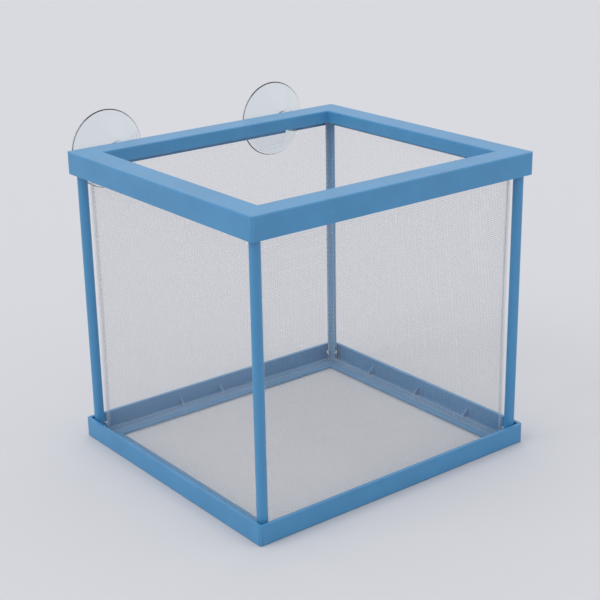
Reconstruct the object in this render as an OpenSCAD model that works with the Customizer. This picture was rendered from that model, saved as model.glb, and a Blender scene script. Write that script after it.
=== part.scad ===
// Mesh breeding box for an aquarium: a net bag in a frame of two moulded rims
// and four posts, hung on the glass by two suction cups.
// Millimetres, +Z up. X runs along the long side; the cups are on the +Y side.
// The origin is under the middle of the whole outline, on the resting plane.

/* [Frame] */
// Outside length of the box, along X
box_l = 165; // [130:1:220]
// Outside width of the box, along Y
box_w = 150; // [120:1:200]
// Outside height of the box
box_h = 150; // [100:1:200]

/* [Rims] */
// Width of a rim's flat flange
rim_w = 13; // [13:0.5:18]
// Height of the upper rim's outer wall
upper_h = 11; // [10:0.5:14]
// Height of the lower rim's outer wall
lower_h = 10; // [9:0.5:14]
// Height of the upper rim's inner wall, and of the seats for the posts in both rims
inner_h = 6.5; // [6:0.5:8]
// Thickness of a rim's flange and walls
rim_t = 1.8; // [1.4:0.1:2]
// Rounding of a rim's two long edges on the flange side
edge_r = 0.8; // [0.3:0.1:1.2]
// Radius of a rim's corners, seen from above
corner_r = 2; // [1:0.5:3]
// Thickness of the gussets and webs inside a rim
rib_t = 1.2; // [0.8:0.1:1.6]
// Length and height of a gusset along the flange and the wall
gusset = 4.5; // [3:0.5:5]

/* [Posts] */
// Diameter of a post
post_d = 5; // [4:0.1:6]
// Diameter of the spigot at each end of a post
spigot_d = 3.4; // [3:0.1:3.8]
// Wall of the socket that takes a spigot
socket_wall = 1.1; // [0.8:0.1:1.4]
// Chamfer at a spigot's tip
tip = 0.5; // [0.2:0.1:0.8]

/* [Net bag] */
// Thickness of the net
net_t = 0.5; // [0.3:0.1:0.8]
// Thickness of the folded hem at the top of the bag
hem_t = 3; // [2.4:0.1:3.3]
// Diameter of the elastic cord in the hem
elastic_d = 1.6; // [1.2:0.1:1.8]
// Radius of the elastic's bends at the corners
elastic_bend = 3; // [2:0.5:5]
// Width of each leg of the tape that binds a seam
tape_w = 3; // [2:0.5:5]
// Thickness of the binding tape
tape_t = 0.4; // [0.2:0.1:0.5]
// Height of the binding round the floor
floor_tape_h = 2; // [1.5:0.5:4]
// Thickness of a corner loop
loop_t = 0.8; // [0.5:0.1:1]
// Width of a corner loop
loop_w = 6; // [5:0.1:6.5]

/* [Suction cups] */
// Distance from each end of the box to a cup's axis
cup_inset = 30.5; // [24:0.5:40]
// Diameter of a cup at its lip
cup_d = 40; // [30:1:46]
// Depth of the dome, from its crown to the lip
dome_h = 9; // [7:0.5:11]
// Depth of the hollow under the dome
hollow_h = 6.5; // [4:0.5:7]
// Width of the flat land at the lip
land_w = 1.2; // [0.8:0.1:2]
// Diameter of the collar behind the dome
collar_d = 12; // [10:0.5:14]
// Length of the collar, from the rim's pad to the dome's crown
collar_h = 3.5; // [2:0.5:5]
// Diameter of the neck that sits in the rim's slot
neck_d = 5; // [4:0.1:5.5]
// Diameter of the head behind the rim's wall
head_d = 8; // [7:0.1:8.5]
// Thickness of the head
head_t = 2.2; // [1.5:0.1:3]
// Thickness of the pad round a slot
pad_t = 1; // [0.6:0.1:1.6]
// Width of the pad's wall beside a slot
pad_wall = 1.5; // [1:0.1:2]
// Rounding of the head's far edge
head_edge = 0.8; // [0.3:0.1:1.2]

/* [Fits] */
// Radial gap round a spigot, a neck and the elastic
fit_gap = 0.08; // [0.03:0.01:0.1]
// Gap on each side of a part that is free to move
slide_gap = 0.2; // [0.1:0.05:0.3]
// Gap between the bag's bound corners and the sockets or posts beside them
bag_gap = 0.3; // [0.2:0.05:0.6]

/* [Hidden] */
$fn = 64;
OVER = 1;      // how far a cut runs past the face that it opens

// Places that follow from the sizes above
post_inset = rim_t + max(loop_w, post_d) / 2 + slide_gap;   // its axis to the two outer faces
post_x = box_l / 2 - post_inset;
post_y = box_w / 2 - post_inset;
socket_d = spigot_d + 2 * socket_wall;
socket_end = inner_h - loop_t;          // depth of a socket's mouth below the flange's face
corner_gap = (max(socket_d, post_d) / 2 + bag_gap) / sqrt(2);  // post's axis to the bag's bound
bag_inset = post_inset + corner_gap + tape_t;                  // corner, along X and along Y
bag_x = box_l / 2 - bag_inset;          // outer faces of the bag
bag_y = box_w / 2 - bag_inset;
floor_z = rim_t + tape_t;               // the floor net lies on its tape, on the lower flange
hem_z = box_h - socket_end;             // lower edge of the hem
hem_h = socket_end - rim_t;
cup_x = box_l / 2 - cup_inset;
cup_z = box_h - rim_t - head_d / 2 - slide_gap;
slot_r = neck_d / 2 + fit_gap;
slot_l = cup_z - (box_h - upper_h);     // from the slot's end to the wall's lower edge
under_tape = tape_w - tape_t;           // how far the floor's binding reaches under the floor
lip_y = box_w / 2 + pad_t + slide_gap + collar_h + dome_h;
mid_y = (lip_y - box_w / 2) / 2;        // middle of the outline, ahead of the box's own middle

BLUE = [0.36, 0.59, 0.78];
NET = [0.86, 0.87, 0.89, 0.6];
TAPE = [0.88, 0.89, 0.91];
CLEAR = [0.82, 0.88, 0.9, 0.5];

// ---------- shared shapes ----------

// Puts a shape built round the box's middle over the origin
module on_origin() translate([0, -mid_y, 0]) children();

// What rounding takes off a square corner at the origin
module corner_waste(r) difference() {
    translate([-OVER, -OVER]) square(r + OVER);
    translate([r, r]) circle(r);
}

// Section of a rim: X runs in from the outer face, Y runs in from the flange's face.
// With an inner wall it is a channel, and without one an angle.
module rim_section(outer, inner) difference() {
    union() {
        square([rim_w, rim_t]);
        square([rim_t, outer]);
        if (inner > 0) translate([rim_w - rim_t, 0]) square([rim_t, inner]);
    }
    corner_waste(edge_r);
    translate([rim_w, 0]) mirror([1, 0]) corner_waste(edge_r);
}

// One side of a rim, mitred at both ends, with its outer face at Y = -half
module rim_side(length, half, outer, inner) intersection() {
    translate([-length / 2, -half, 0]) rotate([90, 0, 90])
        linear_extrude(length) rim_section(outer, inner);
    linear_extrude(outer) polygon([
        [-length / 2, -half], [length / 2, -half],
        [length / 2 - rim_w, rim_w - half], [rim_w - length / 2, rim_w - half]]);
}

// Upright block with rounded corners that a rim is trimmed to
module plan_block(height) linear_extrude(height) {
    square([box_l - 2 * corner_r, box_w], center = true);
    square([box_l, box_w - 2 * corner_r], center = true);
    for (x = [-1, 1], y = [-1, 1])
        translate([x * (box_l / 2 - corner_r), y * (box_w / 2 - corner_r)]) circle(corner_r);
}

// Triangular rib between the flange and the outer wall at Y = -half
module gusset_rib(half) translate([-rib_t / 2, rim_t - half, rim_t])
    rotate([90, 0, 90]) linear_extrude(rib_t)
        polygon([[0, 0], [gusset, 0], [0, gusset]]);

// Socket for a post, with a web to each of the two walls beside it
module socket(x, y) translate([x * post_x, y * post_y, 0]) {
    cylinder(d = socket_d, h = socket_end);
    reach = post_inset - rim_t / 2;
    translate([x > 0 ? 0 : -reach, -rib_t / 2, rim_t / 2])
        cube([reach, rib_t, socket_end - rim_t / 2]);
    translate([-rib_t / 2, y > 0 ? 0 : -reach, rim_t / 2])
        cube([rib_t, reach, socket_end - rim_t / 2]);
}

// A whole rim lying on its flange, with its gussets and post sockets
module rim(outer, inner) difference() {
    union() {
        intersection() {
            for (turn = [0, 180]) {
                rotate(turn) rim_side(box_l, box_w / 2, outer, inner);
                rotate(turn + 90) rim_side(box_w, box_l / 2, outer, inner);
            }
            plan_block(outer);
        }
        for (turn = [0, 180], step = [-1, 0, 1]) {
            rotate(turn) translate([step * cup_x / 2, 0, 0]) gusset_rib(box_w / 2);
            rotate(turn + 90) translate([step * box_w / 4, 0, 0]) gusset_rib(box_l / 2);
        }
        for (x = [-1, 1], y = [-1, 1]) socket(x, y);
    }
    for (x = [-1, 1], y = [-1, 1]) translate([x * post_x, y * post_y, rim_t])
        cylinder(d = spigot_d + 2 * fit_gap, h = socket_end);
}

// Outline of a slot's end and sides, or of the pad round it, down to the wall's lower edge
module slot_outline(r, past = 0) {
    circle(r);
    translate([-r, -slot_l - past]) square([2 * r, slot_l + past]);
}

// Plate of that outline on the back wall, from depth inside the wall's face to stand outside it
module slot_plate(r, inside, outside, past = 0) for (x = [-1, 1])
    translate([x * cup_x, box_w / 2 + outside, cup_z]) rotate([90, 0, 0])
        linear_extrude(inside + outside) slot_outline(r, past);

// One round cord laid as a rectangle with round bends, about its own middle
module cord_ring(d, half_x, half_y, bend) {
    for (side = [-1, 1]) {
        translate([bend - half_x, side * half_y, 0]) rotate([0, 90, 0])
            cylinder(d = d, h = 2 * (half_x - bend));
        translate([side * half_x, bend - half_y, 0]) rotate([-90, 0, 0])
            cylinder(d = d, h = 2 * (half_y - bend));
    }
    for (turn = [0, 1, 2, 3]) {
        x = turn == 0 || turn == 3 ? 1 : -1;
        y = turn < 2 ? 1 : -1;
        translate([x * (half_x - bend), y * (half_y - bend), 0]) rotate(90 * turn)
            rotate_extrude(angle = 90) translate([bend, 0]) circle(d = d);
    }
}

// ---------- frame ----------

module upper_rim() color(BLUE) on_origin() difference() {
    union() {
        translate([0, 0, box_h]) mirror([0, 0, 1]) rim(upper_h, inner_h);
        slot_plate(slot_r + pad_wall, rim_t / 2, pad_t);
    }
    slot_plate(slot_r, rim_t + OVER, pad_t + OVER, OVER);
}

module lower_rim() color(BLUE) on_origin() rim(lower_h, 0);

// Post in the corner on the sides x and y, with a spigot at each end
module post(x, y) color(BLUE) on_origin() translate([x * post_x, y * post_y, 0]) {
    translate([0, 0, inner_h]) cylinder(d = post_d, h = box_h - 2 * inner_h);
    translate([0, 0, rim_t + slide_gap + tip])
        cylinder(d = spigot_d, h = box_h - 2 * (rim_t + slide_gap + tip));
    for (end = [0, 1]) translate([0, 0, end * box_h]) mirror([0, 0, end])
        translate([0, 0, rim_t + slide_gap])
            cylinder(d1 = spigot_d - 2 * tip, d2 = spigot_d, h = tip);
}

module post_front_left() post(-1, -1);
module post_front_right() post(1, -1);
module post_back_left() post(-1, 1);
module post_back_right() post(1, 1);

// ---------- net bag ----------

// Wall of the bag on the long side y, from the floor to the hem
module long_net(y) color(NET) on_origin()
    translate([-bag_x, y < 0 ? -bag_y : bag_y - net_t, floor_z])
        cube([2 * bag_x, net_t, hem_z - floor_z]);

// Wall of the bag on the short side x, between the two long ones
module short_net(x) color(NET) on_origin()
    translate([x < 0 ? -bag_x : bag_x - net_t, net_t - bag_y, floor_z])
        cube([net_t, 2 * (bag_y - net_t), hem_z - floor_z]);

module net_front() long_net(-1);
module net_back() long_net(1);
module net_left() short_net(-1);
module net_right() short_net(1);

module net_floor() color(NET) on_origin() translate([net_t - bag_x, net_t - bag_y, floor_z])
    cube([2 * (bag_x - net_t), 2 * (bag_y - net_t), net_t]);

// Outline of the bag, grown by a tape's thickness
module bag_outline(grow) square([2 * (bag_x + grow), 2 * (bag_y + grow)], center = true);

// Tape folded round the upright seam in the corner on the sides x and y
module binding(x, y) color(TAPE) on_origin() translate([0, 0, floor_z + floor_tape_h])
    linear_extrude(hem_z - floor_z - floor_tape_h) difference() {
        translate([x * (bag_x + tape_t - tape_w / 2), y * (bag_y + tape_t - tape_w / 2)])
            square(tape_w, center = true);
        bag_outline(0);
    }

module binding_front_left() binding(-1, -1);
module binding_front_right() binding(1, -1);
module binding_back_left() binding(-1, 1);
module binding_back_right() binding(1, 1);

// Tape folded round the seam between the floor and the four walls
module floor_binding() color(TAPE) on_origin() difference() {
    translate([0, 0, floor_z - tape_t]) linear_extrude(floor_tape_h + tape_t)
        bag_outline(tape_t);
    translate([0, 0, floor_z]) linear_extrude(floor_tape_h + OVER) bag_outline(0);
    translate([0, 0, floor_z - tape_t - OVER]) linear_extrude(tape_t + 2 * OVER)
        bag_outline(-under_tape);
}

// Folded hem that lies in the upper rim's channel, with a tunnel for the elastic
module hem_casing() color(TAPE) on_origin() difference() {
    translate([0, 0, hem_z]) linear_extrude(hem_h) difference() {
        bag_outline(0);
        bag_outline(-hem_t);
    }
    elastic(2 * fit_gap);
}

module elastic(grow = 0) translate([0, 0, hem_z + hem_h / 2])
    cord_ring(elastic_d + grow, bag_x - hem_t / 2, bag_y - hem_t / 2, elastic_bend);

module hem_elastic() color("white") on_origin() elastic();

// Loops that hold the bag's four corners on the posts' spigots, lying on the plane z
module corner_loops(z) color(TAPE) on_origin() translate([0, 0, z]) linear_extrude(loop_t)
    for (x = [-1, 1], y = [-1, 1]) difference() {
        translate([x * post_x, y * post_y]) {
            circle(d = loop_w);
            rotate(atan2(-y, -x)) translate([0, -loop_w / 2])
                square([sqrt(2) * corner_gap + loop_w / 2, loop_w]);
        }
        translate([x * post_x, y * post_y]) circle(d = spigot_d + 2 * fit_gap);
        bag_outline(tape_t);
    }

module upper_corner_loops() corner_loops(box_h - inner_h);
module lower_corner_loops() corner_loops(socket_end);

// ---------- suction cups ----------

// Radius of the sphere whose cap has that base radius and height
function cap_radius(base, height) = (base * base + height * height) / (2 * height);

// Half section of a cup: X is the radius, Y runs outwards from the wall's outer face
module cup_section() {
    seat = pad_t + slide_gap;               // back of the collar
    crown = seat + collar_h;
    lip = crown + dome_h;
    head = rim_t + slide_gap;
    dome_r = cap_radius(cup_d / 2, dome_h);
    hollow_r = cap_radius(cup_d / 2 - land_w, hollow_h);
    difference() {
        union() {
            translate([0, -head - head_t]) square([head_d / 2, head_t]);
            translate([0, -head - head_t / 2]) square([neck_d / 2, head + seat + head_t]);
            translate([0, seat]) square([collar_d / 2, lip - seat]);
            intersection() {
                translate([0, crown + dome_r]) circle(dome_r);
                translate([0, crown]) square([cup_d / 2, dome_h]);
            }
        }
        translate([0, lip - hollow_h + hollow_r]) circle(hollow_r);
        translate([head_d / 2, -head - head_t]) mirror([1, 0]) corner_waste(head_edge);
    }
}

module suction_cup(x) color(CLEAR) on_origin()
    translate([x * cup_x, box_w / 2, cup_z]) rotate([-90, 0, 0])
        rotate_extrude() intersection() {
            cup_section();
            translate([0, -box_w / 2]) square([cup_d, box_w]);
        }

module suction_cup_left() suction_cup(-1);
module suction_cup_right() suction_cup(1);

upper_rim();
lower_rim();
post_front_left();
post_front_right();
post_back_left();
post_back_right();
net_front();
net_back();
net_left();
net_right();
net_floor();
binding_front_left();
binding_front_right();
binding_back_left();
binding_back_right();
floor_binding();
hem_casing();
hem_elastic();
upper_corner_loops();
lower_corner_loops();
suction_cup_left();
suction_cup_right();
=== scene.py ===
"""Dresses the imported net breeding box: moulded frame, sewn net bag and clear suction cups."""
import math

import bmesh
import bpy
from bpy.props import FloatProperty, FloatVectorProperty, IntProperty, PointerProperty
from bpy.types import Operator, Panel, PropertyGroup
from mathutils import Matrix, Vector, noise


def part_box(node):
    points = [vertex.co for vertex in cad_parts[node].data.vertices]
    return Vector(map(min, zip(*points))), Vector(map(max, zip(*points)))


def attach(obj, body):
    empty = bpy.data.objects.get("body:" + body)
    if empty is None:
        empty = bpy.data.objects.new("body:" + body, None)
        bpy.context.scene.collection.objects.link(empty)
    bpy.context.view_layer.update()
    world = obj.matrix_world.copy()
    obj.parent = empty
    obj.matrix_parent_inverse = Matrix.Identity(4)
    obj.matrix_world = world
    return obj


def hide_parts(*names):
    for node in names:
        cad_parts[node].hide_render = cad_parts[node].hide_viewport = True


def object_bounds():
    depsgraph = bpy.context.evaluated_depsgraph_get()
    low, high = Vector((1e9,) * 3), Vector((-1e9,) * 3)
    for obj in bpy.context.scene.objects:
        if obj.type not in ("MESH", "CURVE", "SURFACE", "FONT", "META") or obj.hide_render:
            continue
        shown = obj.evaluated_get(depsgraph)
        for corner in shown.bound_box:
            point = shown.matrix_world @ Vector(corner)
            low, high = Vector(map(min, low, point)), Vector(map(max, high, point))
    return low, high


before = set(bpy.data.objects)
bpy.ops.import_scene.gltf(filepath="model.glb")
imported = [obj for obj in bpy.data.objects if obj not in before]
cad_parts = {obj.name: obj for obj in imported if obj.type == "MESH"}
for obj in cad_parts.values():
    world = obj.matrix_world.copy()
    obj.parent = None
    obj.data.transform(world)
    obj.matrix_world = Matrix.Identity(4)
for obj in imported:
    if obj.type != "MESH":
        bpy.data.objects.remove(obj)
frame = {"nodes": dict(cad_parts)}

bl_info = {
    "name": "Net Breeding Box",
    "version": (1, 0, 0),
    "blender": (4, 5, 0),
    "location": "View3D > Sidebar > Breeding Box",
    "description": "Builds the looks of a net breeding box for an aquarium on its packed frame",
    "category": "Add Mesh",
}

MM = 0.001
CORNERS = [(side_y, side_x) for side_y in ("front", "back") for side_x in ("left", "right")]
SIGN = {"left": -1, "right": 1, "front": -1, "back": 1}
WELD = 0.002 * MM           # points closer than this are merged
BEND_STEPS = 6              # facets round a bend of a tape, the hem or the elastic
ROW_END = 1 * MM            # tape left without stitches at each end of a row
TWIST, BRAID = 900.0, 300.0     # how fine the sewing thread is twisted and the cord braided
CAD_LOW, CAD_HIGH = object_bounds()


# ---------------------------------------------------------------- sizes and colours

class FrameSettings(PropertyGroup):
    """Sizes and colours of the moulded frame."""
    colour: FloatVectorProperty(
        name="Plastic", description="Colour of the rims and posts", subtype="COLOR",
        size=3, min=0, max=1, default=(0.061, 0.257, 0.485))
    roughness: FloatProperty(
        name="Roughness", description="Roughness of the moulded plastic",
        min=0, max=1, default=0.34)
    edge: FloatProperty(
        name="Edge", description="Width of the softened moulded edges",
        unit="LENGTH", min=0, default=0.22 * MM)
    wear: FloatProperty(
        name="Wear", description="How much paler the edges are worn",
        min=0, max=1, default=0.35)


class NetSettings(PropertyGroup):
    """Sizes and colours of the net bag."""
    pitch: FloatProperty(
        name="Pitch", description="Distance between two threads of the net",
        unit="LENGTH", min=0.2 * MM, default=1.0 * MM)
    thread: FloatProperty(
        name="Thread", description="Width of one thread of the net",
        unit="LENGTH", min=0.02 * MM, default=0.07 * MM)
    colour: FloatVectorProperty(
        name="Thread colour", description="Colour of the net's threads", subtype="COLOR",
        size=3, min=0, max=1, default=(0.43, 0.43, 0.44))
    bow: FloatProperty(
        name="Bow", description="How far a stretched wall bows inwards at its middle",
        unit="LENGTH", min=0, default=1.6 * MM)
    pull: FloatProperty(
        name="Pull", description="How far an upright seam is pulled in at half height",
        unit="LENGTH", min=0, default=0.4 * MM)
    sag: FloatProperty(
        name="Sag", description="How far the floor sags in the lower rim's opening",
        unit="LENGTH", min=0, default=1.2 * MM)
    pucker: FloatProperty(
        name="Pucker", description="Depth of the small folds beside a seam",
        unit="LENGTH", min=0, default=0.3 * MM)
    cell: FloatProperty(
        name="Cell", description="Size of one face of the bag's mesh",
        unit="LENGTH", min=0.5 * MM, default=1.8 * MM)


class SewingSettings(PropertyGroup):
    """Sizes and colours of the tapes, the hem and the stitches."""
    tape_colour: FloatVectorProperty(
        name="Tape", description="Colour of the tapes", subtype="COLOR",
        size=3, min=0, max=1, default=(0.60, 0.61, 0.62))
    thread_colour: FloatVectorProperty(
        name="Sewing thread", description="Colour of the stitches", subtype="COLOR",
        size=3, min=0, max=1, default=(0.62, 0.63, 0.66))
    rib: FloatProperty(
        name="Rib", description="Distance between two ribs of the tape",
        unit="LENGTH", min=0.1 * MM, default=0.5 * MM)
    sheer: FloatProperty(
        name="Sheer thread", description="Width of a thread in the see-through tape",
        unit="LENGTH", min=0.02 * MM, default=0.045 * MM)
    stitch: FloatProperty(
        name="Stitch", description="Length of one stitch",
        unit="LENGTH", min=0.5 * MM, default=1.7 * MM)
    stitch_pitch: FloatProperty(
        name="Stitch pitch", description="Distance from one stitch to the next",
        unit="LENGTH", min=0.5 * MM, default=2.5 * MM)
    stitch_width: FloatProperty(
        name="Stitch width", description="Thickness of the sewing thread",
        unit="LENGTH", min=0.05 * MM, default=0.26 * MM)


class CupSettings(PropertyGroup):
    """Sizes and colours of the suction cups."""
    colour: FloatVectorProperty(
        name="Cup", description="Tint of the clear cups", subtype="COLOR",
        size=3, min=0, max=1, default=(0.90, 0.945, 0.96))
    ridge: FloatProperty(
        name="Ridge", description="Height of the ridges moulded on the dome",
        unit="LENGTH", min=0, default=0.3 * MM)
    steps: IntProperty(
        name="Steps", description="Facets round a cup", min=24, default=96)


class StageSettings(PropertyGroup):
    """Floor, camera and light."""
    floor_colour: FloatVectorProperty(
        name="Floor", description="Colour of the floor and the backdrop", subtype="COLOR",
        size=3, min=0, max=1, default=(0.622, 0.626, 0.648))
    azimuth: FloatProperty(
        name="Azimuth", description="Direction of the camera round the box",
        subtype="ANGLE", default=math.radians(-37.9))
    elevation: FloatProperty(
        name="Elevation", description="Height of the camera above the horizon",
        subtype="ANGLE", default=math.radians(19.8))
    roll: FloatProperty(
        name="Roll", description="Tilt of the camera about its view",
        subtype="ANGLE", default=math.radians(-1.0))
    distance: FloatProperty(
        name="Distance", description="Distance from the camera to the box's middle",
        unit="LENGTH", min=0.1, default=0.674)
    lens: FloatProperty(
        name="Lens", description="Focal length of the camera", min=10, default=82)


class BreederSettings(PropertyGroup):
    """Everything that a user of the box would change."""
    frame: PointerProperty(type=FrameSettings)
    net: PointerProperty(type=NetSettings)
    sewing: PointerProperty(type=SewingSettings)
    cup: PointerProperty(type=CupSettings)
    stage: PointerProperty(type=StageSettings)


# ---------------------------------------------------------------- making pieces

def finish_piece(name, bm, nodes, body, materials):
    """Makes an object of the bmesh, which stands for those CAD nodes and rides on that body."""
    mesh = bpy.data.meshes.new(name)
    bm.normal_update()
    bm.to_mesh(mesh)
    bm.free()
    for made in materials:
        mesh.materials.append(made)
    mesh.shade_smooth()
    piece = bpy.data.objects.new(name, mesh)
    bpy.context.scene.collection.objects.link(piece)
    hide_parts(*nodes)
    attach(piece, body)
    return piece


def box_uv(bm):
    """Maps each face in metres on the plane it faces: U along X or Y, and V along Y or Z."""
    layer = bm.loops.layers.uv.verify()
    bm.normal_update()
    for face in bm.faces:
        x, y, z = (abs(part) for part in face.normal)
        first, second = (0, 1) if z > x and z > y else (1, 2) if x > y else (0, 2)
        for loop in face.loops:
            loop[layer].uv = (loop.vert.co[first], loop.vert.co[second])


def edge_loop(bm, points):
    """A closed loop of vertices and edges through the points."""
    verts = [bm.verts.new(point) for point in points]
    return [bm.edges.new((verts[i - 1], verts[i])) for i in range(len(verts))]


def open_line(bm, points):
    """An open line of vertices and edges through the points."""
    verts = [bm.verts.new(point) for point in points]
    return [bm.edges.new(pair) for pair in zip(verts, verts[1:])]


def swept_on(bm, ring, **spin):
    """Extrudes the ring of edges by a spin and gives back the ring at its far end."""
    last = bmesh.ops.spin(bm, geom=ring, use_merge=False, use_duplicate=False, **spin)
    return [item for item in last["geom_last"] if isinstance(item, bmesh.types.BMEdge)]


def lathed(bm, outline, centre, axis, along, across, steps):
    """Turns a half outline of (radius, place along the axis) all the way round."""
    open_line(bm, [centre + across * radius + along * place for radius, place in outline])
    bmesh.ops.spin(bm, geom=bm.verts[:] + bm.edges[:], cent=centre, axis=axis,
                   angle=2 * math.pi, steps=steps, use_merge=True)
    bmesh.ops.remove_doubles(bm, verts=bm.verts, dist=WELD)
    bmesh.ops.recalc_face_normals(bm, faces=bm.faces)


def swept_rectangle(section, half_x, half_y, bend, middle, cell, closed=True):
    """A tube, or a strip with an open section, that runs round a rectangle with round bends.

    section lists points as (outwards, up) from the path, which runs anticlockwise.
    """
    bm = bmesh.new()
    start = middle + Vector((half_x, bend - half_y, 0))
    points = [start + Vector((out, 0, up)) for out, up in section]
    ring = edge_loop(bm, points) if closed else open_line(bm, points)
    sides = [(Vector((0, 1, 0)), 2 * (half_y - bend)), (Vector((-1, 0, 0)), 2 * (half_x - bend))]
    for turn, (sign_x, sign_y) in enumerate([(1, 1), (-1, 1), (-1, -1), (1, -1)]):
        direction, length = sides[turn % 2]
        step = direction * (1 if turn < 2 else -1)
        steps = max(1, round(length / cell))
        ring = swept_on(bm, ring, angle=0, steps=steps, dvec=step * length / steps)
        centre = middle + Vector((sign_x * (half_x - bend), sign_y * (half_y - bend), 0))
        ring = swept_on(bm, ring, angle=math.pi / 2, steps=BEND_STEPS, axis=(0, 0, 1),
                        cent=centre)
    bmesh.ops.remove_doubles(bm, verts=bm.verts, dist=WELD)
    bmesh.ops.recalc_face_normals(bm, faces=bm.faces)
    return bm


def sew(bm, start, end, outwards, sewing):
    """Lays a row of stitches from start to end, half sunk in the surface that faces outwards."""
    line = end - start
    count = max(1, int(line.length / sewing.stitch_pitch))
    along = line.normalized()
    turned = Matrix((along, outwards.cross(along), outwards)).transposed().to_4x4()
    half = sewing.stitch_width / 2
    size = Matrix.Diagonal((sewing.stitch / 2, half, half, 1))
    for i in range(count):
        place = Matrix.Translation(start + line * (i + 0.5) / count)
        made = bmesh.ops.create_icosphere(bm, subdivisions=2, radius=1,
                                          matrix=place @ turned @ size)
        for vert in made["verts"]:
            for face in vert.link_faces:
                face.material_index = 1


def sew_round(bm, low, high, height, sewing):
    """Sews a row of stitches along the four outer sides of a box, at that height."""
    middle = (low + high) / 2
    for sign in (-1, 1):
        for axis in (0, 1):
            start, end = low.copy(), high.copy()
            start[axis] += ROW_END
            end[axis] -= ROW_END
            start[1 - axis] = end[1 - axis] = high[1 - axis] if sign > 0 else low[1 - axis]
            start.z = end.z = height
            outwards = (start + end) / 2 - middle
            outwards.z = 0
            sew(bm, start, end, outwards.normalized(), sewing)


# ---------------------------------------------------------------- materials

def new_material(name):
    """An empty material, its tree and its Principled shader, wired to the output."""
    made = bpy.data.materials.new(name)
    made.use_nodes = True
    return made, made.node_tree, made.node_tree.nodes["Principled BSDF"]


def feed(tree, value, socket):
    """Sets a socket to a value, or links it to a socket."""
    if isinstance(value, bpy.types.NodeSocket):
        tree.links.new(value, socket)
    else:
        socket.default_value = value


def add_node(tree, kind, inputs=None, **settings):
    """A node of that kind. inputs sets or links sockets by name or number."""
    node = tree.nodes.new(kind)
    for name, value in settings.items():
        setattr(node, name, value)
    for key, value in (inputs or {}).items():
        feed(tree, value, node.inputs[key])
    return node


def maths(tree, operation, *values):
    """The output of one Math node."""
    return add_node(tree, "ShaderNodeMath", dict(enumerate(values)),
                    operation=operation).outputs[0]


def spread(tree, value, low, high, to_low=0.0, to_high=1.0):
    """A value's range from low to high, spread over another range and held within it."""
    inputs = dict(enumerate((value, low, high, to_low, to_high)))
    return add_node(tree, "ShaderNodeMapRange", inputs).outputs[0]


def mixed(tree, factor, first, second):
    """The output of one colour Mix node."""
    node = tree.nodes.new("ShaderNodeMix")
    node.data_type = "RGBA"
    colours = [socket for socket in node.inputs if socket.type == "RGBA"]
    for socket, value in zip([node.inputs[0], *colours], (factor, first, second)):
        feed(tree, value, socket)
    return next(socket for socket in node.outputs if socket.type == "RGBA")


def clouds(tree, place, scale, detail, roughness=0.5):
    """The outputs of a noise texture: its height and its colour."""
    inputs = {"Vector": place, "Scale": scale, "Detail": detail, "Roughness": roughness}
    return add_node(tree, "ShaderNodeTexNoise", inputs).outputs


def shade(colour, factor=1):
    """That colour, darker or lighter by a factor, with full alpha."""
    return (*(min(1, part * factor) for part in colour), 1)


def new_group(name, inputs, outputs):
    """An empty shader node group with those named sockets."""
    tree = bpy.data.node_groups.new(name, "ShaderNodeTree")
    for title, kind, default in inputs:
        socket = tree.interface.new_socket(title, in_out="INPUT", socket_type=kind)
        if default is not None:
            socket.default_value = default
    for title in outputs:
        tree.interface.new_socket(title, in_out="OUTPUT", socket_type="NodeSocketFloat")
    return tree, tree.nodes.new("NodeGroupInput").outputs, tree.nodes.new("NodeGroupOutput").inputs


def moulded_group():
    """Group for smooth plastic: slow waves, fine grain and rare scuffs."""
    tree, given, out = new_group("moulded_surface", [
        ("Stretch", "NodeSocketVector", (1, 1, 1)),
        ("Wave size", "NodeSocketFloat", 60.0),
        ("Grain size", "NodeSocketFloat", 2200.0),
        ("Scuff size", "NodeSocketFloat", 420.0),
    ], ["Height", "Scuff", "Tone"])
    place = tree.nodes.new("ShaderNodeTexCoord").outputs["Object"]
    drawn = add_node(tree, "ShaderNodeVectorMath", {0: place, 1: given["Stretch"]},
                     operation="MULTIPLY").outputs[0]
    wave = clouds(tree, drawn, given["Wave size"], detail=2.0)[0]
    grain = clouds(tree, drawn, given["Grain size"], detail=1.0)[0]
    slanted = add_node(tree, "ShaderNodeMapping", {"Vector": place, "Rotation": (0.4, 0.9, 0.3),
                                                   "Scale": (1, 9, 1)}).outputs[0]
    scuff = clouds(tree, slanted, given["Scuff size"], detail=3.0, roughness=0.7)[0]
    faint_grain = maths(tree, "MULTIPLY", grain, 0.12)
    tree.links.new(maths(tree, "ADD", wave, faint_grain), out["Height"])
    tree.links.new(spread(tree, scuff, low=0.62, high=0.78), out["Scuff"])
    tree.links.new(spread(tree, wave, low=0.3, high=0.7), out["Tone"])
    return tree


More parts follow.
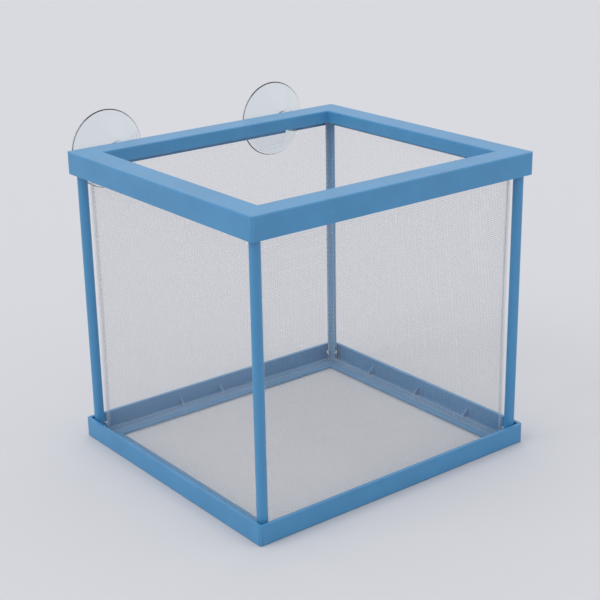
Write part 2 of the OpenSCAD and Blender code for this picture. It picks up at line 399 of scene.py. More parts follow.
def crossed_group():
    """Group for threads that cross at right angles, on a map in metres."""
    tree, given, out = new_group("crossed_threads", [
        ("Map", "NodeSocketVector", None),
        ("Pitch along", "NodeSocketFloat", 1.0 * MM),
        ("Pitch across", "NodeSocketFloat", 1.0 * MM),
        ("Thread", "NodeSocketFloat", 0.2 * MM),
        ("Wander", "NodeSocketFloat", 0.1 * MM),
    ], ["Cover", "Height", "Tone"])
    drift = clouds(tree, given["Map"], scale=90.0, detail=1.0)["Color"]
    centred = add_node(tree, "ShaderNodeVectorMath", {0: drift, 1: (0.5, 0.5, 0.5)},
                       operation="SUBTRACT")
    shift = add_node(tree, "ShaderNodeVectorMath",
                     {0: centred.outputs[0], "Scale": given["Wander"]}, operation="SCALE")
    moved = add_node(tree, "ShaderNodeVectorMath",
                     {0: given["Map"], 1: shift.outputs[0]}, operation="ADD")
    split = add_node(tree, "ShaderNodeSeparateXYZ", {0: moved.outputs[0]})
    half = maths(tree, "MULTIPLY", given["Thread"], 0.5)
    covers, heights = [], []
    for axis, title in ((0, "Pitch along"), (1, "Pitch across")):
        half_pitch = maths(tree, "MULTIPLY", given[title], 0.5)
        off = maths(tree, "PINGPONG", split.outputs[axis], half_pitch)
        covers.append(maths(tree, "LESS_THAN", off, half))
        ratio = maths(tree, "DIVIDE", off, half)
        crown = maths(tree, "SUBTRACT", 1.0, maths(tree, "MULTIPLY", ratio, ratio))
        heights.append(maths(tree, "MAXIMUM", crown, 0.0))
    speck = clouds(tree, given["Map"], scale=700.0, detail=2.0)[0]
    tree.links.new(maths(tree, "MAXIMUM", *covers), out["Cover"])
    tree.links.new(maths(tree, "MAXIMUM", *heights), out["Height"])
    tree.links.new(speck, out["Tone"])
    return tree


def placed(tree, name, maker, **inputs):
    """The outputs of a shared node group, placed in a material with its own values."""
    node = tree.nodes.new("ShaderNodeGroup")
    node.node_tree = bpy.data.node_groups.get(name) or maker()
    for title, value in inputs.items():
        feed(tree, value, node.inputs[title.replace("_", " ")])
    return node.outputs


def threads(tree, **inputs):
    """The crossed threads, on the piece's own map."""
    uv = tree.nodes.new("ShaderNodeUVMap").outputs[0]
    return placed(tree, "crossed_threads", crossed_group, Map=uv, **inputs)


def tint(tree, shader, factor, colour, dark, pale):
    """Feeds a colour to the shader, darker where the factor is low and paler where it is high."""
    base = mixed(tree, factor, shade(colour, dark), shade(colour, pale))
    tree.links.new(base, shader.inputs["Base Color"])


def bump(tree, shader, height, strength, distance):
    """Feeds a height to the shader's normal."""
    node = add_node(tree, "ShaderNodeBump",
                    {"Height": height, "Strength": strength, "Distance": distance})
    tree.links.new(node.outputs[0], shader.inputs["Normal"])


def shared(name, maker, *values):
    """A material, made once."""
    return bpy.data.materials.get(name) or maker(name, *values)


def plastic_material(name, settings, stretch):
    """Light-blue plastic with faint flow waves, small scuffs and slightly worn edges."""
    made, tree, shader = new_material(name)
    surface = placed(tree, "moulded_surface", moulded_group, Stretch=stretch)
    base = mixed(tree, surface["Tone"], shade(settings.colour, 0.95),
                 shade(settings.colour, 1.05))
    edge = add_node(tree, "ShaderNodeAttribute", attribute_name="worn_edge").outputs["Fac"]
    patches = maths(tree, "MULTIPLY", surface["Tone"], settings.wear)
    patchy_edge = maths(tree, "MULTIPLY", edge, patches)
    faint_scuff = maths(tree, "MULTIPLY", surface["Scuff"], 0.2)
    worn = maths(tree, "MAXIMUM", patchy_edge, faint_scuff)
    pale = [0.6 * part + 0.25 for part in settings.colour]
    tree.links.new(mixed(tree, worn, base, shade(pale)), shader.inputs["Base Color"])
    rough = spread(tree, worn, low=0.0, high=0.4, to_low=settings.roughness,
                   to_high=settings.roughness + 0.14)
    tree.links.new(rough, shader.inputs["Roughness"])
    shader.inputs["IOR"].default_value = 1.5
    bump(tree, shader, surface["Height"], strength=0.25, distance=0.12 * MM)
    return made


def net_material(name, settings):
    """Fine net: pale threads with open cells between them."""
    made, tree, shader = new_material(name)
    weave = threads(tree, Pitch_along=settings.pitch, Pitch_across=settings.pitch,
                    Thread=settings.thread, Wander=0.35 * MM)
    tint(tree, shader, weave["Tone"], settings.colour, dark=0.9, pale=1.1)
    tree.links.new(weave["Cover"], shader.inputs["Alpha"])
    shader.inputs["Roughness"].default_value = 0.5
    shader.inputs["Sheen Weight"].default_value = 0.15
    bump(tree, shader, weave["Height"], strength=0.4, distance=0.06 * MM)
    return made


def tape_material(name, settings, see_through):
    """Ribbed tape, sheer where it binds a seam and dense where it holds the elastic, with painted
    shade between its ribs.
    """
    made, tree, shader = new_material(name)
    thread = settings.sheer if see_through else settings.rib * 0.9
    weave = threads(tree, Pitch_along=settings.rib, Pitch_across=settings.rib,
                    Thread=thread, Wander=0.1 * MM)
    # painted shade and highlight: the tape is darker in the grooves between its ribs and paler on
    # their crowns, following the threads' height
    tint(tree, shader, weave["Height"], settings.tape_colour, dark=0.82, pale=1.05)
    if see_through:
        tree.links.new(weave["Cover"], shader.inputs["Alpha"])
    shader.inputs["Roughness"].default_value = 0.7
    shader.inputs["Sheen Weight"].default_value = 0.3
    bump(tree, shader, weave["Height"], strength=0.6, distance=0.1 * MM)
    return made


def thread_material(name, settings, twist_size):
    """Twisted thread or braided cord, with painted shade in the grooves of its twist."""
    made, tree, shader = new_material(name)
    place = tree.nodes.new("ShaderNodeTexCoord").outputs["Object"]
    twist = add_node(tree, "ShaderNodeTexWave",
                     {"Vector": place, "Scale": twist_size, "Distortion": 1.5},
                     bands_direction="DIAGONAL").outputs["Fac"]
    # painted shade and highlight: darker in the grooves of the twist and paler on its ridges,
    # following the same twist as the bump
    tint(tree, shader, twist, settings.thread_colour, dark=0.84, pale=1.06)
    shader.inputs["Roughness"].default_value = 0.6
    bump(tree, shader, twist, strength=0.4, distance=0.05 * MM)
    return made


def cup_material(name, colour):
    """Clear soft plastic with faint waves and a few scuffs."""
    made, tree, shader = new_material(name)
    surface = placed(tree, "moulded_surface", moulded_group, Wave_size=110.0, Grain_size=900.0)
    shader.inputs["Base Color"].default_value = shade(colour)
    shader.inputs["Transmission Weight"].default_value = 1.0
    shader.inputs["IOR"].default_value = 1.4
    rough = spread(tree, surface["Scuff"], low=0.0, high=1.0, to_low=0.07, to_high=0.25)
    tree.links.new(rough, shader.inputs["Roughness"])
    bump(tree, shader, surface["Height"], strength=0.2, distance=0.15 * MM)
    return made


def stage_material(name, colour):
    """Plain matt floor."""
    made, tree, shader = new_material(name)
    shader.inputs["Base Color"].default_value = shade(colour)
    shader.inputs["Roughness"].default_value = 0.9
    shader.inputs["Specular IOR Level"].default_value = 0.2
    return made


def sewn(see_through=False):
    """A tape and the thread that sews it."""
    settings = bpy.context.scene.breeder.sewing
    name = "sheer_tape" if see_through else "woven_tape"
    return [shared(name, tape_material, settings, see_through),
            shared("sewing_thread", thread_material, settings, TWIST)]


# ---------------------------------------------------------------- frame pieces

FLAT = math.radians(0.5)    # faces that turn less than this make one flat face
SHARP = math.radians(35)    # an edge that turns more than this is bevelled,
BLUNT = math.radians(80)    # unless it turns less than this
SHORT = 0.35 * MM           # and is no longer than this
CRISP = math.radians(50)    # an edge that turns more than this is crisp in shading


def takes_bevel(edge):
    """Whether an edge is sharp, and no short blunt crease where two moulded rounds cross."""
    if len(edge.link_faces) != 2 or edge.calc_face_angle() < SHARP:
        return False
    return edge.calc_face_angle() > BLUNT or edge.calc_length() > SHORT


def softened_copy(node, width):
    """A merged copy of a CAD node's mesh, its flat faces whole and its sharp edges bevelled."""
    bm = bmesh.new()
    bm.from_mesh(frame["nodes"][node].data)
    bmesh.ops.remove_doubles(bm, verts=bm.verts, dist=WELD)
    bmesh.ops.dissolve_limit(bm, angle_limit=FLAT, use_dissolve_boundaries=False,
                             verts=bm.verts, edges=bm.edges)
    worn = bm.faces.layers.float.new("worn_edge")
    sharp = [edge for edge in bm.edges if takes_bevel(edge)]
    made = bmesh.ops.bevel(bm, geom=sharp, offset=width, offset_type="OFFSET", affect="EDGES",
                           segments=2, profile=0.5, material=-1, clamp_overlap=True)
    for face in made["faces"]:
        face[worn] = 1
    bmesh.ops.triangulate(bm, faces=[face for face in bm.faces if len(face.verts) > 4])
    return bm


def even_shading(piece):
    """Keeps a bevelled piece's large faces flat in shading, and its last creases crisp."""
    bm = bmesh.new()
    bm.from_mesh(piece.data)
    for edge in bm.edges:
        edge.smooth = edge.calc_face_angle(0) < CRISP
    bm.to_mesh(piece.data)
    bm.free()
    piece.modifiers.new("even_shading", "WEIGHTED_NORMAL").keep_sharp = True


class BREEDER_OT_rims(Operator):
    """Build the two moulded rims"""
    bl_idname = "breeder.rims"
    bl_label = "Rims"

    def execute(self, context):
        settings = context.scene.breeder.frame
        plastic = shared("moulded_plastic", plastic_material, settings, (1, 1, 1))
        for node in ("upper_rim", "lower_rim"):
            rim = finish_piece(f"{node}_moulding", softened_copy(node, settings.edge), [node],
                               "breeder", [plastic])
            even_shading(rim)
        return {"FINISHED"}


class BREEDER_OT_posts(Operator):
    """Build the four posts"""
    bl_idname = "breeder.posts"
    bl_label = "Posts"
    SHOULDER = 4.5 * MM     # from a spigot's tip to the post's shoulder
    SPIGOT = 1.7 * MM       # radius of a spigot
    TIP = 0.5 * MM          # chamfer at a spigot's tip
    EASE = 0.3 * MM         # rounding of the shoulder
    BEVEL = 0.12 * MM       # width of the bevels on its other edges
    STEPS = 48              # facets round a post
    DRAWN = (3, 3, 0.05)    # draws the plastic's waves out along a post

    def outline(self, low, high, radius):
        """Half outline of a post, as (radius, height), from its lower tip to its upper one."""
        lower = [(0, low), (self.SPIGOT - self.TIP, low), (self.SPIGOT, low + self.TIP),
                 (self.SPIGOT, low + self.SHOULDER), (radius - self.EASE, low + self.SHOULDER),
                 (radius, low + self.SHOULDER + self.EASE)]
        upper = [(across, low + high - height) for across, height in reversed(lower)]
        return lower + upper

    def execute(self, context):
        settings = context.scene.breeder.frame
        plastic = shared("drawn_plastic", plastic_material, settings, self.DRAWN)
        for side_y, side_x in CORNERS:
            node = f"post_{side_y}_{side_x}"
            low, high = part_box(node)
            radius = (high.x - low.x) / 2
            foot = Vector(((low.x + high.x) / 2, (low.y + high.y) / 2, 0))
            bm = bmesh.new()
            lathed(bm, self.outline(low.z, high.z, radius), foot, (0, 0, 1),
                   Vector((0, 0, 1)), Vector((1, 0, 0)), self.STEPS)
            sharp = [edge for edge in bm.edges
                     if edge.is_manifold and edge.calc_face_angle() > SHARP]
            bmesh.ops.bevel(bm, geom=sharp, offset=self.BEVEL, offset_type="OFFSET",
                            affect="EDGES", segments=2, profile=0.5, material=-1)
            even_shading(finish_piece(f"{node}_rod", bm, [node], "breeder", [plastic]))
        return {"FINISHED"}


# ---------------------------------------------------------------- net bag

def seam_pull(height, low_z, high_z, pull):
    """How far an upright seam between those heights is pulled in at that height."""
    share = (height - low_z) / (high_z - low_z)
    return pull * math.sin(math.pi * min(1, max(0, share)))


class BREEDER_OT_bag(Operator):
    """Build the net bag, one shell drawn up from its floor"""
    bl_idname = "breeder.bag"
    bl_label = "Net bag"
    PANELS = ["net_front", "net_back", "net_left", "net_right", "net_floor"]
    FOLD_REACH = 9 * MM     # how far the folds beside a seam run into a panel
    FOLD_PITCH = 7 * MM     # rough distance from one fold to the next along a seam
    FOLD_RUN = 30 * MM      # rough distance over which a fold changes as it leaves the seam
    FINE_RUN = 14 * MM      # the same for the finer folds,
    FINER = 2.2             # which lie this much closer together
    MAIN, FINE = 1.3, 0.7   # depth of the folds and of the finer ones, as shares of a pucker
    UNLIKE = 3.7            # makes the folds beside each seam unlike those beside the next
    FLOOR_FOLDS = 0.2       # depth of the floor's folds, as a share of the walls'
    HELD = 2.5 * MM         # strip beside a seam that the tape holds flat
    FLANGE = 13 * MM        # width of the lower rim, from its outer faces to its opening
    HANG = 0.8              # below 1, the sagging floor hangs fuller near the flange
    ON_WALL = 0.0001        # share of the bag's width within which a point is on a wall
    SEAM_TURN = math.radians(40)    # an edge that turns more than this is crisp in shading

    def outline(self):
        """Lowest and highest corner of the bag, at the middle of the net's thickness."""
        boxes = [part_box(node) for node in self.PANELS]
        low = Vector([min(box[0][axis] for box in boxes) for axis in range(3)])
        high = Vector([max(box[1][axis] for box in boxes) for axis in range(3)])
        floor_low, floor_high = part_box("net_floor")
        half = (floor_high.z - floor_low.z) / 2
        return low + Vector((half, half, half)), high - Vector((half, half, 0))

    def shell(self, low, high, cell):
        """The taut bag: a grid for its floor, whose edges are drawn up level by level."""
        size = high - low
        steps = [round(part / cell) for part in size]
        middle = (low + high) / 2
        middle.z = low.z
        place = Matrix.Translation(middle) @ Matrix.Diagonal((size.x, size.y, 1, 1))
        bm = bmesh.new()
        bmesh.ops.create_grid(bm, x_segments=steps[0], y_segments=steps[1], size=0.5,
                              matrix=place)
        edges = [edge for edge in bm.edges if edge.is_boundary]
        for level in range(steps[2]):
            drawn = bmesh.ops.extrude_edge_only(bm, edges=edges)["geom"]
            verts = [item for item in drawn if isinstance(item, bmesh.types.BMVert)]
            bmesh.ops.translate(bm, verts=verts, vec=(0, 0, size.z / steps[2]))
            edges = [item for item in drawn
                     if isinstance(item, bmesh.types.BMEdge) and item.is_boundary]
        return bm

    def folds(self, along, gaps, seed):
        """Depth of the small folds at a point, from its distance to each seam of its panel."""
        depth = 0
        for number, gap in enumerate(gaps):
            place = along[number] / self.FOLD_PITCH
            own = seed + self.UNLIKE * number
            wave = noise.noise(Vector((place, gap / self.FOLD_RUN, own)))
            fine = noise.noise(Vector((self.FINER * place, gap / self.FINE_RUN, seed + number)))
            fold = self.MAIN * wave + self.FINE * fine
            depth += fold * math.exp(-gap / self.FOLD_REACH)
        return depth * min(1, min(gaps) / self.HELD)

    def wall_shift(self, point, low, high, settings):
        """How far a point of a wall moves in: seams pulled, panels bowed, folds by the seams."""
        size = high - low
        share = [(point[axis] - low[axis]) / size[axis] for axis in range(3)]
        pull = seam_pull(point.z, low.z, high.z, settings.pull)
        shift = Vector((pull * (1 - 2 * share[0]), pull * (1 - 2 * share[1]), 0))
        for axis in (0, 1):
            if self.ON_WALL <= share[axis] <= 1 - self.ON_WALL:
                continue
            side = -1 if share[axis] < self.ON_WALL else 1
            other = 1 - axis
            across = share[other] * size[other]
            up = point.z - low.z
            gaps = [across, size[other] - across, up, size.z - up]
            bow = math.sin(math.pi * share[other]) * math.sin(math.pi * share[2])
            folds = self.folds([up, up, across, across], gaps, seed=10 * axis + 5 * side)
            shift[axis] -= side * (settings.bow * bow + settings.pucker * folds)
        return shift

    def floor_shift(self, point, low, high, rim, settings):
        """How a point of the floor moves: down in the lower rim's opening, and up in folds."""
        depth = settings.sag
        for axis in (0, 1):
            start, end = rim[0][axis] + self.FLANGE, rim[1][axis] - self.FLANGE
            share = min(1, max(0, (point[axis] - start) / (end - start)))
            depth *= math.sin(math.pi * share) ** self.HANG
        gaps = [point.x - low.x, high.x - point.x, point.y - low.y, high.y - point.y]
        folds = self.folds([point.y, point.y, point.x, point.x], gaps, seed=40)
        return Vector((0, 0, self.FLOOR_FOLDS * settings.pucker * abs(folds) - depth))

    def execute(self, context):
        settings = context.scene.breeder.net
        low, high = self.outline()
        bm = self.shell(low, high, settings.cell)
        box_uv(bm)
        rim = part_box("lower_rim")
        for vert in bm.verts:
            if vert.co.z > low.z + WELD:
                vert.co += self.wall_shift(vert.co, low, high, settings)
            else:
                vert.co += self.floor_shift(vert.co, low, high, rim, settings)
        bmesh.ops.recalc_face_normals(bm, faces=bm.faces)
        weave = shared("net_threads", net_material, settings)
        bag = finish_piece("net_bag", bm, self.PANELS, "breeder", [weave])
        bag.data.set_sharp_from_angle(angle=self.SEAM_TURN)
        return {"FINISHED"}


# ---------------------------------------------------------------- tapes, hem and loops

class BREEDER_OT_bindings(Operator):
    """Build the sheer tapes that bind the bag's seams"""
    bl_idname = "breeder.bindings"
    bl_label = "Seam bindings"
    FOLD = 0.35 * MM        # rounding of a tape's folded edge
    MID_FOLD = 0.3          # middle of that rounding, as a share of it
    LIFT = 0.1 * MM         # height of the floor tape above the rim that it lies on
    STEPS = 60              # faces up an upright tape
    CELL = 4 * MM           # length of one face of the floor tape
    ROW = 0.7               # place of an upright tape's stitches, as a share of its leg
    FLOOR_ROW = 0.62        # height of the floor tape's stitches, as a share of its height
    WAVER = 0.1 * MM        # how far an upright tape wavers
    WAVER_LENGTH = 6 * MM   # rough length of one waver

    def upright(self, side_y, side_x, sewing, pull):
        """The tape folded round one upright seam, with a row of stitches on each leg.

        Gives back the width of a leg, which the floor tape shares.
        """
        node = f"binding_{side_y}_{side_x}"
        low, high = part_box(node)
        sign = Vector((SIGN[side_x], SIGN[side_y], 0))
        corner = Vector((high.x if sign.x > 0 else low.x, high.y if sign.y > 0 else low.y, low.z))
        leg, fold, mid = high.x - low.x, self.FOLD, self.MID_FOLD * self.FOLD
        section = [(0, leg), (0, fold), (mid, mid), (fold, 0), (leg, 0)]
        bm = bmesh.new()
        line = open_line(bm, [corner - Vector((sign.x * x, sign.y * y, 0)) for x, y in section])
        rise = (high.z - low.z) / self.STEPS
        swept_on(bm, line, angle=0, steps=self.STEPS, dvec=(0, 0, rise))
        box_uv(bm)
        for axis in (0, 1):
            outwards = Vector((0, 0, 0))
            outwards[1 - axis] = sign[1 - axis]
            start = corner.copy()
            start[axis] -= sign[axis] * leg * self.ROW
            start.z = low.z + ROW_END
            end = start.copy()
            end.z = high.z - ROW_END
            sew(bm, start, end, outwards, sewing)
        wall_low, wall_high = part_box("net_front")
        for vert in bm.verts:
            waver = abs(noise.noise(vert.co / self.WAVER_LENGTH)) * self.WAVER
            vert.co -= sign * (seam_pull(vert.co.z, wall_low.z, wall_high.z, pull) + waver)
        finish_piece(f"{node}_tape", bm, [node], "breeder", sewn(see_through=True))
        return leg

    def floor(self, leg, sewing):
        """The tape folded round the seam between the floor and the walls."""
        low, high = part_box("floor_binding")
        middle = (low + high) / 2
        middle.z = low.z + self.LIFT
        tall, fold, mid = high.z - middle.z, self.FOLD, self.MID_FOLD * self.FOLD
        section = [(0, tall), (0, fold), (-mid, mid), (-fold, 0), (-leg, 0)]
        bm = swept_rectangle(section, (high.x - low.x) / 2, (high.y - low.y) / 2, 2 * fold,
                             middle, self.CELL, closed=False)
        box_uv(bm)
        sew_round(bm, low, high, middle.z + tall * self.FLOOR_ROW, sewing)
        finish_piece("floor_binding_tape", bm, ["floor_binding"], "breeder",
                     sewn(see_through=True))

    def execute(self, context):
        settings = context.scene.breeder
        for side_y, side_x in CORNERS:
            leg = self.upright(side_y, side_x, settings.sewing, settings.net.pull)
        self.floor(leg, settings.sewing)
        return {"FINISHED"}


class BREEDER_OT_hem(Operator):
    """Build the folded hem and the elastic in it"""
    bl_idname = "breeder.hem"
    bl_label = "Hem"
    DEPTH = 3 * MM          # thickness of the folded hem
    EASE = 0.5 * MM         # rounding of its folds
    BEND = 1 * MM           # radius of its bends at the box's corners
    CELL = 1.2 * MM         # length of one of its faces
    ROW = 1.2 * MM          # height of its stitches above its lower edge
    GATHER = 0.35 * MM      # depth of its gathers
    GATHER_PITCH = 2.4 * MM     # rough distance from one gather to the next
    ELASTIC_BEND = 3 * MM   # radius of the elastic's bends
    ELASTIC_CELL = 3 * MM   # length of one of its faces
    ELASTIC_SIDES = 12      # facets round the elastic

    def casing(self, sewing):
        """The hem: a folded tube of tape, gathered in small folds."""
        low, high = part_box("hem_casing")
        middle = (low + high) / 2
        half, depth, ease = (high.z - low.z) / 2, self.DEPTH, self.EASE
        section = [(0, ease - half), (0, half - ease), (-ease, half), (ease - depth, half),
                   (-depth, half - ease), (-depth, ease - half), (ease - depth, -half),
                   (-ease, -half)]
        bm = swept_rectangle(section, (high.x - low.x) / 2, (high.y - low.y) / 2, self.BEND,
                             middle, self.CELL)
        box_uv(bm)
        sew_round(bm, low, high, low.z + self.ROW, sewing)
        for vert in bm.verts:
            gather = noise.noise(Vector((vert.co.x, vert.co.y, 0)) / self.GATHER_PITCH)
            away = (vert.co - middle).normalized()
            vert.co += Vector((away.x, away.y, 0)) * min(0, gather) * self.GATHER
        finish_piece("hem_casing_fold", bm, ["hem_casing"], "breeder", sewn())

    def elastic(self, sewing):
        """The elastic: one round cord through the hem."""
        low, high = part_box("hem_elastic")
        radius = (high.z - low.z) / 2
        turns = [2 * math.pi * i / self.ELASTIC_SIDES for i in range(self.ELASTIC_SIDES)]
        section = [(radius * math.cos(turn), radius * math.sin(turn)) for turn in turns]
        bm = swept_rectangle(section, (high.x - low.x) / 2 - radius,
                             (high.y - low.y) / 2 - radius, self.ELASTIC_BEND,
                             (low + high) / 2, self.ELASTIC_CELL)
        braid = shared("braided_cord", thread_material, sewing, BRAID)
        finish_piece("hem_elastic_cord", bm, ["hem_elastic"], "breeder", [braid])

    def execute(self, context):
        self.casing(context.scene.breeder.sewing)
        self.elastic(context.scene.breeder.sewing)
        return {"FINISHED"}


class BREEDER_OT_loops(Operator):
    """Build the loops that hold the bag's corners on the posts"""
    bl_idname = "breeder.loops"
    bl_label = "Corner loops"
    HOLE = 1.8 * MM         # radius of the hole that takes a spigot
    BAND = 1.2 * MM         # width of the band round it
    REACH = 3.3 * MM        # from a spigot's axis to the bag's corner
    EASE = 0.15 * MM        # rounding of the band's edges
    LEG_STEPS = 2           # faces along each leg of the band
    TURN_STEPS = 14         # facets round the spigot

    def band(self, bm, axis, inwards, low_z, high_z):
        """One band: from the bag's corner, round the spigot and back."""
        inner, outer, ease = self.HOLE, self.HOLE + self.BAND, self.EASE
        side = Vector((-inwards.y, inwards.x, 0))
        section = [(inner, low_z + ease), (inner + ease, low_z), (outer - ease, low_z),
                   (outer, low_z + ease), (outer, high_z - ease), (outer - ease, high_z),
                   (inner + ease, high_z), (inner, high_z - ease)]
        start = axis + inwards * self.REACH
        ring = edge_loop(bm, [start + side * across + Vector((0, 0, z)) for across, z in section])
        bmesh.ops.contextual_create(bm, geom=ring)
        step = inwards * self.REACH / self.LEG_STEPS
        ring = swept_on(bm, ring, angle=0, steps=self.LEG_STEPS, dvec=-step)
        ring = swept_on(bm, ring, angle=math.pi, steps=self.TURN_STEPS, axis=(0, 0, 1), cent=axis)
        ring = swept_on(bm, ring, angle=0, steps=self.LEG_STEPS, dvec=step)
        bmesh.ops.contextual_create(bm, geom=ring)

    def execute(self, context):
        for place in ("upper", "lower"):
            node = f"{place}_corner_loops"
            low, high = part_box(node)
            bm = bmesh.new()
            for side_y, side_x in CORNERS:
                post_low, post_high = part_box(f"post_{side_y}_{side_x}")
                axis = (post_low + post_high) / 2
                axis.z = 0
                inwards = Vector((-SIGN[side_x], -SIGN[side_y], 0)).normalized()
                self.band(bm, axis, inwards, low.z, high.z)
            bmesh.ops.recalc_face_normals(bm, faces=bm.faces)
            box_uv(bm)
            finish_piece(f"{node}_bands", bm, [node], "breeder", sewn())
        return {"FINISHED"}


# ---------------------------------------------------------------- suction cups

class BREEDER_OT_cups(Operator):
    """Build the two clear suction cups"""
    bl_idname = "breeder.cups"
    bl_label = "Suction cups"
    DOME = 9 * MM           # crown to lip
    HOLLOW = 6.5 * MM       # depth of the hollow
    LAND = 1.2 * MM         # width of the flat ring at the lip
    COLLAR = 6 * MM         # radius of the collar
    COLLAR_LENGTH = 3.5 * MM
    NECK = 2.5 * MM         # radius of the neck
    NECK_LENGTH = 3.2 * MM
    HEAD = 4 * MM           # radius of the head
    HEAD_LENGTH = 2.2 * MM
    EASE = 0.5 * MM         # rounding of the edges
    DOME_STEPS = 22         # faces from the collar to the lip
    HOLLOW_STEPS = 20       # faces from the lip's flat ring to the middle of the hollow
    RIDGES = (8, 12)        # points of the dome's outline that stand up as ridges

    def arc(self, base, height, foot, start, count):
        """Outline of a spherical cap above foot, from that starting radius out to its base."""
        ball = (base * base + height * height) / (2 * height)
        radii = [start + (base - start) * math.sin(math.pi / 2 * i / count)
                 for i in range(count + 1)]
        return [(across, foot + ball - math.sqrt(ball * ball - across * across))
                for across in radii]

    def outline(self, radius, ridge):
        """Half outline as (radius, distance from the head's end), from the head to the hollow."""
        ease = self.EASE
        neck_end = self.HEAD_LENGTH + self.NECK_LENGTH
        crown = neck_end + self.COLLAR_LENGTH
        dome = self.arc(radius, self.DOME, crown, self.COLLAR, self.DOME_STEPS)
        for i in self.RIDGES:
            across, rise = dome[i]
            dome[i] = (across + ridge * 0.5, rise - ridge)
        hollow = self.arc(radius - self.LAND, self.HOLLOW, crown + self.DOME - self.HOLLOW, 0,
                          self.HOLLOW_STEPS)
        head = [(0, 0), (self.HEAD - 2 * ease, 0), (self.HEAD - 0.6 * ease, 0.4 * ease),
                (self.HEAD, 1.6 * ease), (self.HEAD, self.HEAD_LENGTH - 0.4 * ease),
                (self.HEAD - 0.5 * ease, self.HEAD_LENGTH)]
        neck = [(self.NECK + 0.4 * ease, self.HEAD_LENGTH),
                (self.NECK, self.HEAD_LENGTH + 0.4 * ease), (self.NECK, neck_end - 0.4 * ease),
                (self.NECK + 0.4 * ease, neck_end)]
        collar = [(self.COLLAR - ease, neck_end),
                  (self.COLLAR - 0.2 * ease, neck_end + 0.3 * ease),
                  (self.COLLAR, neck_end + ease)]
        return head + neck + collar + dome + hollow[::-1]

    def execute(self, context):
        settings = context.scene.breeder.cup
        clear = shared("clear_cup", cup_material, settings.colour)
        for side in ("left", "right"):
            node = f"suction_cup_{side}"
            low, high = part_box(node)
            radius = (high.x - low.x) / 2
            centre = Vector(((low.x + high.x) / 2, low.y, (low.z + high.z) / 2))
            bm = bmesh.new()
            lathed(bm, self.outline(radius, settings.ridge), centre, (0, 1, 0),
                   Vector((0, 1, 0)), Vector((1, 0, 0)), settings.steps)
            finish_piece(f"{node}_clear", bm, [node], f"cup_{side}", [clear])
        return {"FINISHED"}


# ---------------------------------------------------------------- stage

def direction(azimuth, elevation):
    """Unit vector from the box towards a point at those angles, azimuth 0 being the front."""
    flat = math.cos(elevation)
    return Vector((math.sin(azimuth) * flat, -math.cos(azimuth) * flat, math.sin(elevation)))


def aimed(data, target, back, distance, roll=0):
    """Links an object that looks at the target from that side and distance."""
    thing = bpy.data.objects.new(data.name, data)
    thing.location = target + back * distance
    thing.rotation_mode = "QUATERNION"
    turn = Matrix.Rotation(roll, 3, "Z").to_quaternion()
    thing.rotation_quaternion = (-back).to_track_quat("-Z", "Y") @ turn
    bpy.context.scene.collection.objects.link(thing)
    return thing


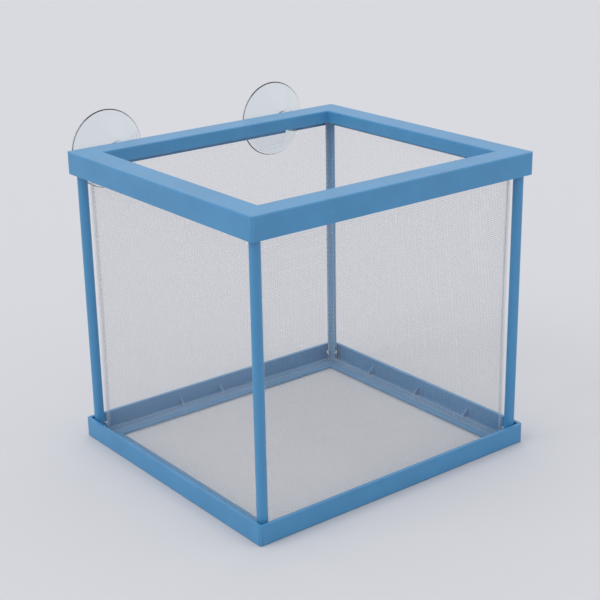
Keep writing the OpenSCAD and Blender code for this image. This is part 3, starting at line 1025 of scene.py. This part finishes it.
class BREEDER_OT_stage(Operator):
    """Set up the floor, the lamps and the camera"""
    bl_idname = "breeder.stage"
    bl_label = "Stage"
    FLOOR = 6.0             # half width of the floor, in metres
    GAP = 0.02 * MM         # between the floor and the box's lowest point
    PALER = 1.15            # how much paler the surroundings are than the floor
    GLOW = 1.15             # strength of their light
    AWAY = 6.0              # distance of the lamps, in metres
    LAMPS = [               # name, strength, spread, azimuth and elevation in degrees
        ("key", 0.75, 37, -100, 45),
        ("fill", 0.15, 42, 45, 30),
        ("top", 0.29, 41, 150, 70)]

    def floor(self, colour):
        """A wide pale floor just under the box."""
        bm = bmesh.new()
        bmesh.ops.create_grid(bm, x_segments=2, y_segments=2, size=self.FLOOR)
        mesh = bpy.data.meshes.new("floor")
        bm.to_mesh(mesh)
        bm.free()
        mesh.materials.append(shared("pale_floor", stage_material, colour))
        made = bpy.data.objects.new("floor", mesh)
        made.location.z = CAD_LOW.z - self.GAP
        bpy.context.scene.collection.objects.link(made)

    def light(self, target, colour):
        """The studio's soft lamps and its plain surroundings."""
        scene = bpy.context.scene
        scene.view_settings.view_transform = "Standard"
        scene.world = scene.world or bpy.data.worlds.new("studio")
        scene.world.use_nodes = True
        background = scene.world.node_tree.nodes["Background"]
        background.inputs["Color"].default_value = shade(colour, self.PALER)
        background.inputs["Strength"].default_value = self.GLOW
        for name, strength, spread_angle, azimuth, elevation in self.LAMPS:
            data = bpy.data.lights.new(name, "SUN")
            data.energy = strength
            data.angle = math.radians(spread_angle)
            back = direction(math.radians(azimuth), math.radians(elevation))
            aimed(data, target, back, self.AWAY)

    def execute(self, context):
        settings = context.scene.breeder.stage
        self.floor(settings.floor_colour)
        low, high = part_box("lower_rim")
        target = (low + high) / 2
        target.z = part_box("upper_rim")[1].z / 2
        self.light(target, settings.floor_colour)
        data = bpy.data.cameras.new("camera")
        data.lens = settings.lens
        data.clip_start, data.clip_end = 0.01, 50
        context.scene.camera = aimed(data, target, direction(settings.azimuth, settings.elevation),
                                     settings.distance, settings.roll)
        return {"FINISHED"}


# ---------------------------------------------------------------- add-on

class BREEDER_PT_panel(Panel):
    """Lists the box's groups of pieces and their settings"""
    bl_idname = "BREEDER_PT_panel"
    bl_label = "Breeding Box"
    bl_space_type = "VIEW_3D"
    bl_region_type = "UI"
    bl_category = "Breeding Box"

    def draw(self, context):
        for operator in OPERATORS:
            self.layout.operator(operator.bl_idname)
        for name in BreederSettings.__annotations__:
            settings = getattr(context.scene.breeder, name)
            box = self.layout.box()
            box.label(text=name.capitalize())
            for prop in settings.__annotations__:
                box.prop(settings, prop)


SETTINGS = [FrameSettings, NetSettings, SewingSettings, CupSettings, StageSettings,
            BreederSettings]
OPERATORS = [BREEDER_OT_rims, BREEDER_OT_posts, BREEDER_OT_bag, BREEDER_OT_bindings,
             BREEDER_OT_hem, BREEDER_OT_loops, BREEDER_OT_cups, BREEDER_OT_stage]


def register():
    for cls in [*SETTINGS, *OPERATORS, BREEDER_PT_panel]:
        bpy.utils.register_class(cls)
    bpy.types.Scene.breeder = PointerProperty(type=BreederSettings)


def unregister():
    del bpy.types.Scene.breeder
    for cls in reversed([*SETTINGS, *OPERATORS, BREEDER_PT_panel]):
        bpy.utils.unregister_class(cls)


def main():
    register()
    bpy.ops.breeder.rims()
    bpy.ops.breeder.posts()
    bpy.ops.breeder.bag()
    bpy.ops.breeder.bindings()
    bpy.ops.breeder.hem()
    bpy.ops.breeder.loops()
    bpy.ops.breeder.cups()
    bpy.ops.breeder.stage()


if __name__ == "__main__":
    main()
